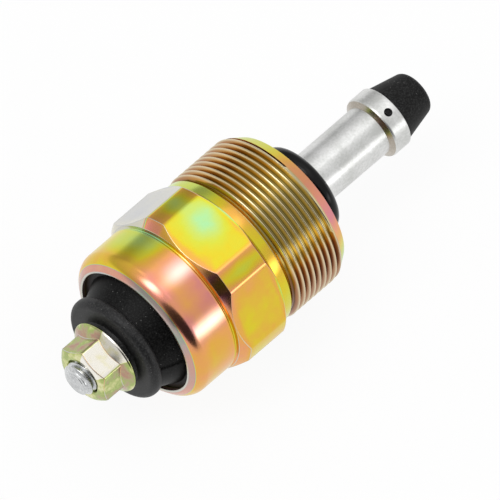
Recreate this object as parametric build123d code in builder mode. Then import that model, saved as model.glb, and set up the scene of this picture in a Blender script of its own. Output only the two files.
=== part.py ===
"""Fuel shutoff solenoid, lying on one flat of its hexagon.

Units are millimetres. The solenoid's axis is X, with the rubber tip towards +X
and the terminal towards -X. The origin is on the axis, in the middle of the
housing's 24 mm thread. Z is up, and the bottom flat of the hexagon is at
z = -flat_radius.
"""

import os

from build123d import *

# Housing: one steel turning with a 24 mm hexagon and a crimped skirt
thread_radius = 12.0
thread_start = -4.2
thread_end = 4.2
lead_in_end = 6.2
lead_in_radius = 10.7
relief_radius = 11.2
relief_start = -5.0
collar_radius = 11.8
flat_radius = 12.0
corner_radius = 13.0
hex_rear = -15.2
hex_front = -6.5
skirt_radius = 11.75
skirt_end = -23.0
skirt_bend = 2.0
lip_radius = 9.73
lip_thickness = 0.75
can_bore = 10.2
can_floor = -5.3
nose_radius = 6.2
nose_end = 7.15
sleeve_hole = 4.35

# Front sealing ring, which sits round the guide sleeve against the nose
ring_section = 1.35
ring_centre = 5.67

# Plunger and its guide sleeve
plunger_radius = 3.78
plunger_rear = -8.2
plunger_front = 22.03
head_radius = 4.69
head_start = 22.45
head_rim = 0.27
head_end = 25.2
cup_radius = 4.38
cup_floor = 23.6
cross_hole_radius = 0.6
cross_hole_x = 23.83
cross_hole_turn = 14.5
spring_hole_radius = 2.4
spring_hole_end = 0.8
sleeve_inside = 3.83
sleeve_outside = 4.3
sleeve_rear = -15.9
sleeve_front = 9.6

# Rubber tip
tip_end = 31.0
tip_end_radius = 3.05
tip_round = 0.65

# Fixed core, coil and the plates behind it
core_face = -11.9
plate_front = -16.35
plate_rear = -18.55
plate_radius = 10.1
stem_radius = 3.0
shim_thickness = 0.2
bobbin_front = -5.35
bobbin_wall = 0.8
bobbin_radius = 9.7
barrel_inside = 4.5
barrel_outside = 5.2
winding_radius = 8.9
tape_thickness = 0.2
lead_radius = 0.3
lead_offset = 7.0
gasket_inside = 8.6

# Insulator cap, terminal stud and nut
cap_face = -19.15
cap_flange_radius = 10.1
neck_base_radius = 8.85
neck_top_radius = 7.2
neck_top = -25.7
disc_radius = 8.07
disc_front_round = 0.45
disc_rear_round = 1.3
seat_radius = 4.6
seat_face = -28.33
neck_step = 0.14
neck_step_from = 72.0
neck_step_angle = 76.0
stud_radius = 2.5
stud_end = -34.42
stud_head_flats = 7.0
stud_head_rear = -20.5
stud_head_front = -19.3
pocket_floor = -20.9
nut_flats = 8.0
nut_end = -33.05
nut_hex_base = -29.65
nut_corner_radius = 4.58
nut_flange_radius = 5.63
nut_turn = 15.0

# Return spring
spring_radius = 1.9
wire_radius = 0.25
wire_sides = 8
spring_turns = 6

fit = 0.02
lip_face = skirt_end + lip_thickness


def turned_face(*points):
    """Draw the half section of a turned piece from (x, radius) points."""
    with BuildSketch(Plane.XZ) as section:
        with BuildLine():
            Polyline(*points, close=True)
        make_face()
    return section.sketch


# Housing. The hexagon is cut first, and its corners are turned down to a cone
# at both ends. The skirt, the threaded end and the nose join it, and the can's
# hollow goes in last, under the lip that is rolled over the insulator's flange.
with BuildPart() as housing:
    with BuildSketch(Plane.YZ.offset(hex_rear)):
        RegularPolygon(flat_radius, 6, major_radius=False)
    extrude(amount=hex_front - hex_rear)
    corner_turning = turned_face(
        (hex_rear, 0),
        (hex_rear, 11.9),
        (hex_rear + 1.2, corner_radius),
        (hex_front - 0.8, corner_radius),
        (hex_front, flat_radius),
        (hex_front, 0),
    )
    revolve(corner_turning, axis=Axis.X, mode=Mode.INTERSECT)

    with BuildSketch(Plane.XZ):
        with BuildLine():
            Polyline(
                (skirt_end + skirt_bend, skirt_radius),
                (hex_rear - 0.5, skirt_radius),
                (hex_rear - 0.25, skirt_radius - 0.3),
                (hex_rear, skirt_radius - 0.05),
                (hex_front, collar_radius),
                (relief_start, collar_radius),
                (relief_start + 0.3, relief_radius),
                (thread_start - 0.25, relief_radius),
                (thread_start, thread_radius),
                (thread_end, thread_radius),
                (lead_in_end, lead_in_radius),
                (lead_in_end, nose_radius),
                (nose_end - 0.4, nose_radius),
                (nose_end, nose_radius - 0.4),
                (nose_end, 0),
                (skirt_end, 0),
                (skirt_end, skirt_radius - skirt_bend),
            )
            RadiusArc(
                (skirt_end, skirt_radius - skirt_bend),
                (skirt_end + skirt_bend, skirt_radius),
                skirt_bend,
            )
        make_face()
    revolve(axis=Axis.X)

    hollow = turned_face(
        (skirt_end, 0),
        (skirt_end, lip_radius + 0.15),
        (skirt_end + 0.15, lip_radius),
        (lip_face, lip_radius),
        (lip_face, can_bore),
        (can_floor, can_bore),
        (can_floor, 5.55),
        (can_floor + 1.2, 5.55),
        (can_floor + 1.2, sleeve_hole),
        (nose_end, sleeve_hole),
        (nose_end, 0),
    )
    revolve(hollow, axis=Axis.X, mode=Mode.SUBTRACT)
housing.part.label = "housing"

with BuildPart() as front_o_ring:
    with BuildSketch(Plane.XZ):
        with Locations((nose_end + ring_section, ring_centre)):
            Circle(ring_section)
    revolve(axis=Axis.X)
front_o_ring.part.label = "front_o_ring"

# Plunger: ground stem, head with a cup for the rubber, and a rear spring hole
with BuildPart() as plunger:
    with BuildSketch(Plane.XZ):
        with BuildLine():
            Polyline(
                (plunger_front, plunger_radius),
                (plunger_rear + 0.3, plunger_radius),
                (plunger_rear, plunger_radius - 0.3),
                (plunger_rear, 0),
                (cup_floor, 0),
                (cup_floor, cup_radius),
                (head_end, cup_radius),
                (head_end, head_radius - 0.1),
                (head_end - 0.1, head_radius),
                (head_start + head_rim, head_radius),
                (head_start, head_radius - 0.1),
                close=True,
            )
        make_face()
    revolve(axis=Axis.X)
    spring_hole = turned_face(
        (plunger_rear, 0),
        (plunger_rear, spring_hole_radius + 0.3),
        (plunger_rear + 0.3, spring_hole_radius),
        (spring_hole_end, spring_hole_radius),
        (spring_hole_end + 1.4, 0),
    )
    revolve(spring_hole, axis=Axis.X, mode=Mode.SUBTRACT)
    # The cross hole through the cup's wall, which the moulded rubber locks into
    with Locations(Location((cross_hole_x, 0, 0), (cross_hole_turn, 0, 0))):
        Cylinder(cross_hole_radius, 2 * head_radius + 1, mode=Mode.SUBTRACT)
plunger.part.label = "plunger"

with BuildPart() as rubber_tip:
    with BuildSketch(Plane.XZ):
        with BuildLine():
            Polyline(
                (tip_end - tip_round, tip_end_radius),
                (head_end + 0.05, cup_radius),
                (cup_floor, cup_radius),
                (cup_floor, 0),
                (tip_end, 0),
                (tip_end, tip_end_radius - tip_round),
            )
            RadiusArc(
                (tip_end, tip_end_radius - tip_round),
                (tip_end - tip_round, tip_end_radius),
                -tip_round,
            )
        make_face()
    revolve(axis=Axis.X)
rubber_tip.part.label = "rubber_tip"

with BuildPart() as guide_sleeve:
    sleeve_section = turned_face(
        (sleeve_rear, sleeve_inside),
        (sleeve_rear, sleeve_outside),
        (sleeve_front, sleeve_outside),
        (sleeve_front, sleeve_inside + 0.15),
        (sleeve_front - 0.15, sleeve_inside),
    )
    revolve(sleeve_section, axis=Axis.X)
guide_sleeve.part.label = "guide_sleeve"

with BuildPart() as sleeve_seal:
    with BuildSketch(Plane.XZ):
        with Locations((can_floor + 0.6, 4.94)):
            Circle(0.58)
    revolve(axis=Axis.X)
sleeve_seal.part.label = "sleeve_seal"

# Fixed core: its head closes the sleeve, its stem is riveted in the pole plate
with BuildPart() as pole_core:
    core_section = turned_face(
        (plate_rear, 0),
        (plate_rear, stem_radius),
        (plate_front, stem_radius),
        (plate_front, plunger_radius),
        (core_face - 0.3, plunger_radius),
        (core_face, plunger_radius - 0.3),
        (core_face, 0),
    )
    revolve(core_section, axis=Axis.X)
pole_core.part.label = "pole_core"

with BuildPart() as residual_shim:
    with BuildSketch(Plane.YZ.offset(core_face)):
        Circle(plunger_radius - 0.1)
        Circle(spring_hole_radius + 0.05, mode=Mode.SUBTRACT)
    extrude(amount=shim_thickness)
residual_shim.part.label = "residual_shim"

with BuildPart() as pole_plate:
    with BuildSketch(Plane.YZ.offset(plate_rear)):
        Circle(plate_radius)
        Circle(stem_radius + fit, mode=Mode.SUBTRACT)
        with Locations((0, lead_offset)):
            Circle(2.5 * lead_radius, mode=Mode.SUBTRACT)
        with Locations((0, -lead_offset)):
            Circle(lead_radius + fit, mode=Mode.SUBTRACT)
    extrude(amount=plate_front - plate_rear)
pole_plate.part.label = "pole_plate"

# Bobbin: a moulded barrel with two flanges, the rear one notched for the leads
bobbin_inner_rear = plate_front + bobbin_wall
bobbin_inner_front = bobbin_front - bobbin_wall
with BuildPart() as bobbin:
    bobbin_section = turned_face(
        (plate_front, barrel_inside),
        (plate_front, bobbin_radius),
        (bobbin_inner_rear, bobbin_radius),
        (bobbin_inner_rear, barrel_outside),
        (bobbin_inner_front, barrel_outside),
        (bobbin_inner_front, bobbin_radius),
        (bobbin_front, bobbin_radius),
        (bobbin_front, barrel_inside),
    )
    revolve(bobbin_section, axis=Axis.X)
    with BuildSketch(Plane.YZ.offset(plate_front)):
        with PolarLocations(lead_offset, 2, start_angle=90):
            SlotOverall(3.2, 1.0)
    extrude(amount=bobbin_wall, mode=Mode.SUBTRACT)
bobbin.part.label = "bobbin"

with BuildPart() as coil_winding:
    with BuildSketch(Plane.YZ.offset(bobbin_inner_rear + 0.05)):
        Circle(winding_radius)
        Circle(barrel_outside + 0.03, mode=Mode.SUBTRACT)
    extrude(amount=bobbin_inner_front - bobbin_inner_rear - 0.1)
coil_winding.part.label = "coil_winding"

with BuildPart() as coil_tape:
    with BuildSketch(Plane.YZ.offset(bobbin_inner_rear + 0.05)):
        Circle(winding_radius + 0.03 + tape_thickness)
        Circle(winding_radius + 0.03, mode=Mode.SUBTRACT)
    extrude(amount=bobbin_inner_front - bobbin_inner_rear - 0.1)
coil_tape.part.label = "coil_tape"

# Live lead: up through the pole plate, then bent flat onto the brass tab
with BuildPart() as live_lead:
    tab_level = stud_head_rear + lead_radius + fit
    with BuildLine(Plane.XZ) as lead_route:
        rise = Line((bobbin_inner_rear, lead_offset), (tab_level + 0.6, lead_offset))
        bend = TangentArc(rise @ 1, (tab_level, lead_offset - 0.6), tangent=rise % 1)
        Line(bend @ 1, (tab_level, 4.5))
    with BuildSketch(Plane(rise @ 0, z_dir=rise % 0)):
        Circle(lead_radius)
    sweep(path=lead_route.line)
live_lead.part.label = "live_lead"

with BuildPart() as earth_lead:
    with BuildSketch(Plane.YZ.offset(plate_rear + 0.05)):
        with Locations((0, -lead_offset)):
            Circle(lead_radius)
    extrude(amount=bobbin_inner_rear - plate_rear - 0.05)
earth_lead.part.label = "earth_lead"

with BuildPart() as cap_gasket:
    with BuildSketch(Plane.YZ.offset(cap_face)):
        Circle(cap_flange_radius)
        Circle(gasket_inside, mode=Mode.SUBTRACT)
    extrude(amount=plate_rear - cap_face)
cap_gasket.part.label = "cap_gasket"

with BuildPart() as insulating_disc:
    with BuildSketch(Plane.YZ.offset(plate_rear - 0.4)):
        Circle(gasket_inside - 0.2)
        with Locations((0, lead_offset)):
            Circle(2.5 * lead_radius, mode=Mode.SUBTRACT)
    extrude(amount=0.35)
insulating_disc.part.label = "insulating_disc"

# Insulator cap: seat for the nut, disc with a round rim, and a neck that
# flares into the flange under the housing's lip
with BuildPart() as insulator_cap:
    disc_widest = neck_top - disc_front_round
    disc_rear = disc_widest - disc_rear_round
    with BuildSketch(Plane.XZ):
        with BuildLine():
            Polyline(
                (disc_rear, disc_radius - disc_rear_round),
                (disc_rear, seat_radius + 0.3),
                (seat_face + 0.2, seat_radius),
                (seat_face, seat_radius - 0.2),
                (seat_face, stud_radius + fit),
                (cap_face, stud_radius + fit),
                (cap_face, cap_flange_radius),
                (lip_face, cap_flange_radius),
                (lip_face, neck_base_radius),
            )
            Spline(
                (lip_face, neck_base_radius),
                (lip_face - 1.2, 8.3),
                (neck_top, neck_top_radius),
            )
            Line((neck_top, neck_top_radius), (neck_top, disc_radius - disc_front_round))
            RadiusArc(
                (neck_top, disc_radius - disc_front_round),
                (disc_widest, disc_radius),
                -disc_front_round,
            )
            RadiusArc(
                (disc_widest, disc_radius),
                (disc_rear, disc_radius - disc_rear_round),
                -disc_rear_round,
            )
        make_face()
    revolve(axis=Axis.X)
    # One side of the neck stands a little proud, from the mould's parting line
    with BuildSketch(Plane.XZ.rotated((neck_step_from, 0, 0))):
        with BuildLine():
            Polyline(
                (neck_top, neck_top_radius - 0.5),
                (neck_top, neck_top_radius + neck_step),
                (lip_face - 1.2, 8.3 + neck_step),
                (lip_face, neck_base_radius + neck_step),
                (lip_face, neck_base_radius - 0.5),
                close=True,
            )
        make_face()
    revolve(axis=Axis.X, revolution_arc=neck_step_angle)
    # Pocket for the stud's head, and a slot for the tab and its lead
    with BuildSketch(Plane.YZ.offset(pocket_floor)):
        RegularPolygon(stud_head_flats / 2 + 0.1, 6, major_radius=False)
        with Locations((0, 3.9)):
            Rectangle(3.2, 7.8)
    extrude(amount=cap_face - pocket_floor, mode=Mode.SUBTRACT)
insulator_cap.part.label = "insulator_cap"

with BuildPart() as live_tab:
    with BuildSketch(Plane.YZ.offset(pocket_floor)):
        Circle(3.3)
        with Locations((0, 3.6)):
            Rectangle(2.8, 7.2)
        Circle(stud_radius + fit, mode=Mode.SUBTRACT)
    extrude(amount=stud_head_rear - pocket_floor)
live_tab.part.label = "live_tab"

with BuildPart() as terminal_stud:
    with BuildSketch(Plane.YZ.offset(stud_head_rear)):
        RegularPolygon(stud_head_flats / 2, 6, major_radius=False)
    extrude(amount=stud_head_front - stud_head_rear)
    with BuildSketch(Plane.XZ):
        with BuildLine():
            Polyline(
                (stud_end + 0.6, stud_radius),
                (stud_head_rear, stud_radius),
                (stud_head_rear, 0),
                (stud_end, 0),
                (stud_end, stud_radius - 0.9),
            )
            ThreePointArc(
                (stud_end, stud_radius - 0.9),
                (stud_end + 0.2, stud_radius - 0.32),
                (stud_end + 0.6, stud_radius),
            )
        make_face()
    revolve(axis=Axis.X)
terminal_stud.part.label = "terminal_stud"

# Terminal nut: hexagon with turned corners on an integral dished flange
with BuildPart() as terminal_nut:
    with BuildSketch(Plane.YZ.offset(nut_end)):
        RegularPolygon(nut_flats / 2, 6, major_radius=False, rotation=nut_turn)
    extrude(amount=seat_face - nut_end - 0.3)
    nut_turning = turned_face(
        (nut_end, 0),
        (nut_end, nut_flats / 2 - 0.35),
        (nut_end + 0.55, nut_corner_radius),
        (seat_face, nut_corner_radius),
        (seat_face, 0),
    )
    revolve(nut_turning, axis=Axis.X, mode=Mode.INTERSECT)
    flange_section = turned_face(
        (seat_face, 0),
        (seat_face, nut_flange_radius - 0.15),
        (seat_face - 0.2, nut_flange_radius),
        (seat_face - 0.45, nut_flange_radius - 0.1),
        (nut_hex_base, nut_flats / 2 + 0.1),
        (nut_hex_base, 0),
    )
    revolve(flange_section, axis=Axis.X)
    nut_hole = turned_face(
        (nut_end, 0),
        (nut_end, stud_radius + 0.3),
        (nut_end + 0.3, stud_radius + fit),
        (seat_face, stud_radius + fit),
        (seat_face, 0),
    )
    revolve(nut_hole, axis=Axis.X, mode=Mode.SUBTRACT)
terminal_nut.part.label = "terminal_nut"

# Return spring, from the fixed core to the bottom of the plunger's hole. Its
# fine wire has a flat-sided section, which keeps the swept surface light.
with BuildPart() as return_spring:
    spring_start = core_face + wire_radius + 0.03
    spring_length = spring_hole_end - wire_radius - 0.03 - spring_start
    with BuildLine():
        spring_path = Helix(
            pitch=spring_length / spring_turns,
            height=spring_length,
            radius=spring_radius,
            center=(spring_start, 0, 0),
            direction=(1, 0, 0),
        )
    with BuildSketch(Plane(spring_path @ 0, z_dir=spring_path % 0)):
        RegularPolygon(wire_radius, wire_sides)
    sweep(path=spring_path, is_frenet=True)
return_spring.part.label = "return_spring"

pieces = [
    housing,
    front_o_ring,
    guide_sleeve,
    sleeve_seal,
    pole_core,
    residual_shim,
    pole_plate,
    bobbin,
    coil_winding,
    coil_tape,
    live_lead,
    earth_lead,
    cap_gasket,
    insulating_disc,
    insulator_cap,
    live_tab,
    terminal_stud,
    terminal_nut,
    plunger,
    rubber_tip,
    return_spring,
]
os.makedirs("parts", exist_ok=True)
for piece in pieces:
    export_step(piece.part, f"parts/{piece.part.label}.step")
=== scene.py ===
# %% [markdown]
# # A fuel shutoff solenoid, dressed for the studio
# The solenoid screws into the head of an injection pump. Its coil pulls a
# plunger back, and a rubber tip on the plunger opens the fuel port. The packed
# model gives every piece at its real size, and this lesson gives the pieces
# that the eye can see their fine shape and their finish.

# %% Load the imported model
import math

import bmesh
import bpy
from mathutils import Matrix, Vector


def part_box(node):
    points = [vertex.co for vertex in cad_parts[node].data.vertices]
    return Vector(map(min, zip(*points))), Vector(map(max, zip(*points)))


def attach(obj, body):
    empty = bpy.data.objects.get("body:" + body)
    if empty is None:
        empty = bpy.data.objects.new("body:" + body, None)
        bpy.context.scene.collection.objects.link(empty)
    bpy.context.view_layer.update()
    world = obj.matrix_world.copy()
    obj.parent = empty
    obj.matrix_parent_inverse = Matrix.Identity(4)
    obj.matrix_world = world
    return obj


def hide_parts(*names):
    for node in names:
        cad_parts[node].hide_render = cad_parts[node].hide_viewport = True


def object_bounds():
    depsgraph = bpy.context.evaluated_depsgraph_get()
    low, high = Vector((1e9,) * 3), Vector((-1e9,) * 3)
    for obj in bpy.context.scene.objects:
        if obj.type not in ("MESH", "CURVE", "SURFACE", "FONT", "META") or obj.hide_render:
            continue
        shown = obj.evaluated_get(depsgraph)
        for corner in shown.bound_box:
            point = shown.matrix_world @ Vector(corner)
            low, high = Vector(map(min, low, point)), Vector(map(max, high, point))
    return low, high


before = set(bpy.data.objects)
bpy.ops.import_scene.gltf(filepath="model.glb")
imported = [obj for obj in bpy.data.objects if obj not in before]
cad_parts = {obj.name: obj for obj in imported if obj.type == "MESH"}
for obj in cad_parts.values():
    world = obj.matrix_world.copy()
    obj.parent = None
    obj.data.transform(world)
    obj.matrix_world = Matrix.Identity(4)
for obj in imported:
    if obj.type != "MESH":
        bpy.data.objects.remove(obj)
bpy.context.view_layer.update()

# %% [markdown]
# ## Sizes
# Everything is measured along the solenoid's axis, X, from the middle of the
# 24 mm thread, and outwards from that axis. Lengths are written in millimetres
# and turned to metres where a mesh is made. The ends of the pieces come from
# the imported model's boxes, so the dressed pieces stay on the solids.

# %% Units and the ends of the pieces
MM = 0.001
AXIS = (1, 0, 0)


def ends(node):
    """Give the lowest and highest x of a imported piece, in millimetres."""
    low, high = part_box(node)
    return low.x / MM, high.x / MM


skirt_end, nose_end = ends("housing")
cap_rear, cap_front = ends("insulator_cap")
stud_end, stud_front = ends("terminal_stud")
nut_end, nut_seat = ends("terminal_nut")
plunger_rear, head_end = ends("plunger")
cup_floor, tip_end = ends("rubber_tip")
ring_rear, ring_front = ends("front_o_ring")
flat_radius = -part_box("housing")[0].z / MM
print("skirt to nose:", round(skirt_end, 2), round(nose_end, 2), "mm")

# %% [markdown]
# ## Turning a profile
# Nearly every piece of a solenoid is made on a lathe, so the lesson does the
# same. A profile is a short list of corners, each with its distance along the
# axis, its radius and how far the corner is rounded. The corners are rounded
# while the profile is still a wire, because bevelling a wire's vertices is
# quick and exact. Then the wire is spun once round the X axis.

# %% A wire profile with rounded corners
def draw_profile(bm, corners, closed):
    """Add a wire of (x, radius, rounding) corners in the XZ plane, and round them."""
    line = [bm.verts.new((x * MM, 0, r * MM)) for x, r, _ in corners]
    pairs = list(zip(line, line[1:]))
    if closed:
        pairs.append((line[-1], line[0]))
    for first, second in pairs:
        bm.edges.new((first, second))
    for size in sorted({size for _, _, size in corners if size}):
        chosen = [v for v, corner in zip(line, corners) if corner[2] == size]
        bmesh.ops.bevel(
            bm,
            geom=chosen,
            offset=size * MM,
            offset_type="OFFSET",
            segments=3 if size < 0.5 else 10,
            profile=0.5,
            affect="VERTICES",
            clamp_overlap=True,
            material=-1,
        )


# %% One full turn
# Vertices within this many millimetres are one, as where a turn meets its start
SEAM_GAP = 0.0005


def spin_round(bm, steps, advance=0.0):
    """Spin a wire once round the X axis, while it advances by some millimetres."""
    bmesh.ops.spin(
        bm,
        geom=bm.verts[:] + bm.edges[:],
        cent=(0, 0, 0),
        axis=AXIS,
        dvec=(advance * MM / steps, 0, 0),
        angle=math.tau,
        steps=steps,
        use_merge=advance == 0.0,
        use_duplicate=False,
    )


def join_up(bm, gap):
    """Join vertices that are within a gap in millimetres, and turn all faces outwards."""
    bmesh.ops.remove_doubles(bm, verts=bm.verts[:], dist=gap * MM)
    bmesh.ops.recalc_face_normals(bm, faces=bm.faces[:])


def turn_profile(corners, steps, closed=True):
    """Turn a piece from its corners. An open profile starts and ends on the axis."""
    bm = bmesh.new()
    draw_profile(bm, corners, closed)
    spin_round(bm, steps)
    join_up(bm, SEAM_GAP)
    return bm


# %% Places round the axis
def turn_of(vert):
    """Give a vertex's turn from +Z towards -Y, in radians."""
    return math.atan2(-vert.co.y, vert.co.z)


def radius_of(vert):
    """Give a vertex's distance from the axis, in millimetres."""
    return math.hypot(vert.co.y, vert.co.z) / MM


def move_to(vert, x, radius, turn):
    """Put a vertex at x and radius, in millimetres, at a turn round the axis."""
    vert.co = Vector((x, -radius * math.sin(turn), radius * math.cos(turn))) * MM


# %% From a bmesh to a finished piece
# The degrees from which an edge is drawn sharp, is rounded, or bounds a root
DRAWN_EDGE = 50
EASED_EDGE = 14
ROOT_EDGE = 25


def is_sharp(edge, degrees):
    """Tell whether two faces meet in an edge at more than an angle."""
    return len(edge.link_faces) == 2 and edge.calc_face_angle() > math.radians(degrees)


def finish_piece(node, bm, materials, body):
    """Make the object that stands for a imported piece, smooth but with flat flats."""
    name = "dressed_" + node
    for edge in bm.edges:
        if is_sharp(edge, DRAWN_EDGE):
            edge.smooth = False
    mesh = bpy.data.meshes.new(name)
    bm.to_mesh(mesh)
    bm.free()
    for material in materials:
        mesh.materials.append(material)
    mesh.shade_smooth()
    piece = bpy.data.objects.new(name, mesh)
    bpy.context.scene.collection.objects.link(piece)
    even = piece.modifiers.new("flat faces stay flat", "WEIGHTED_NORMAL")
    even.mode = "FACE_AREA"
    even.weight = 50
    even.keep_sharp = True
    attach(piece, body)
    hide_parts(node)


# %% [markdown]
# ## Colours and nodes
# A finish is written as the colours that a painter would name, in sRGB hex.
# Blender works in linear light, so one function turns them over. Another adds
# a node with its settings and its links in one line, and a third sets or links
# the inputs of any node, so it serves the shader as well.

# %% Colour and node helpers
def linear(hex_code):
    """Turn an sRGB hex colour into Blender's linear RGBA."""
    channels = [int(hex_code[i : i + 2], 16) / 255 for i in (1, 3, 5)]
    toe = 0.04045
    values = [c / 12.92 if c <= toe else ((c + 0.055) / 1.055) ** 2.4 for c in channels]
    return (*values, 1.0)


def set_inputs(tree, node, inputs):
    """Set a node's inputs. Each is a value, a socket to link, or a node, whose first
    output that is in use is then linked."""
    for key, value in dict(inputs).items():
        if isinstance(value, bpy.types.Node):
            value = next(socket for socket in value.outputs if socket.enabled)
        if isinstance(value, bpy.types.NodeSocket):
            tree.links.new(value, node.inputs[key])
        else:
            node.inputs[key].default_value = value


def add_node(tree, kind, inputs=(), stops=(), **settings):
    """Add a node with its settings, its inputs and, for a colour ramp, its stops."""
    node = tree.nodes.new("ShaderNode" + kind)
    for key, value in settings.items():
        setattr(node, key, value)
    set_inputs(tree, node, inputs)
    for _ in range(len(stops) - 2):
        node.color_ramp.elements.new(1.0)
    for index, (position, colour) in enumerate(stops):
        element = node.color_ramp.elements[index]
        element.position = position
        element.color = linear(colour) if isinstance(colour, str) else (colour,) * 3 + (1,)
    return node


def new_material(name, **sockets):
    """Start a material, set its shader's own sockets, and return all three."""
    material = bpy.data.materials.new(name)
    material.use_nodes = True
    tree = material.node_tree
    shader = tree.nodes["Principled BSDF"]
    for key, value in sockets.items():
        shader.inputs[key.replace("_", " ")].default_value = value
    return material, tree, shader


# %% [markdown]
# ## Yellow zinc plating
# The housing is turned steel with a yellow chromate film over zinc. The film is
# a fraction of a micron thick, and light that bounces inside it comes out
# coloured, as on a soap bubble: straw, gold, salmon and pink, then sea green,
# grass green, yellow, orange and pink again. So the material keeps one number,
# the film's thickness, and one ramp turns it into colour. The thickness drifts
# round the part and along it, because the part hung in a bath, and noise makes
# it patchy.

# %% The colours of the film, from thin to thick
FILM_COLOURS = [
    (0.00, "#bdbec1"),
    (0.14, "#d4d0bc"),
    (0.28, "#dfc48c"),
    (0.40, "#d79a86"),
    (0.50, "#b4a39d"),
    (0.54, "#98a597"),
    (0.59, "#8fc7ac"),
    (0.64, "#a4dea2"),
    (0.70, "#bfd873"),
    (0.77, "#cfd244"),
    (0.82, "#dcc833"),
    (0.87, "#e3ae4a"),
    (0.91, "#e8a462"),
    (0.96, "#e4957c"),
    (1.00, "#da878e"),
]

# %% The colours of the nut's thin film, which is paler
PALE_FILM_COLOURS = [
    (0.00, "#f5f2ec"),
    (0.22, "#f3eee0"),
    (0.36, "#ebe5be"),
    (0.50, "#c9cd8c"),
    (0.60, "#a3b46a"),
    (0.70, "#b2a782"),
    (0.80, "#b48f7c"),
    (1.00, "#a3997f"),
]

# %% The colours of the film in the thread, browner and darker as painted shade of its grooves
THREAD_FILM_SHADED_COLOURS = [
    (0.00, "#c4b272"),
    (0.25, "#c2a85a"),
    (0.45, "#c9a24a"),
    (0.62, "#c4903e"),
    (0.80, "#ae7a46"),
    (1.00, "#9c6c50"),
]

# %% [markdown]
# A spot is a place where the film is thinner or thicker than round about. It is
# given by its middle and its size on the real part, and fades to nothing.

# %% Spots in the film
def on_axis_turn(x, radius, turn):
    """Give the point at x and radius, turned in degrees from +Z towards -Y."""
    angle = math.radians(turn)
    return (x, -radius * math.sin(angle), radius * math.cos(angle))


def add_spot(tree, position, film, place_mm, size_mm, amount):
    """Add an amount of film that is full at a place and fades out round it."""
    place = tuple(c * MM for c in place_mm)
    away = add_node(tree, "VectorMath", {0: position, 1: place}, operation="DISTANCE")
    fade = add_node(
        tree,
        "MapRange",
        {"Value": away, "From Min": 0.0, "From Max": size_mm * MM,
         "To Min": amount, "To Max": 0.0},
        interpolation_type="SMOOTHERSTEP",
    )
    return add_node(tree, "Math", {0: film, 1: fade}, operation="ADD")


# %% The plated finish itself
# The crests' pale colour: rubbed wear and a painted highlight
CREST_WEAR_AND_GLINT = "#dccfae"
# The near white of painted highlight streaks
PAINTED_HIGHLIGHT_STREAK = "#fbeee6"


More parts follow.
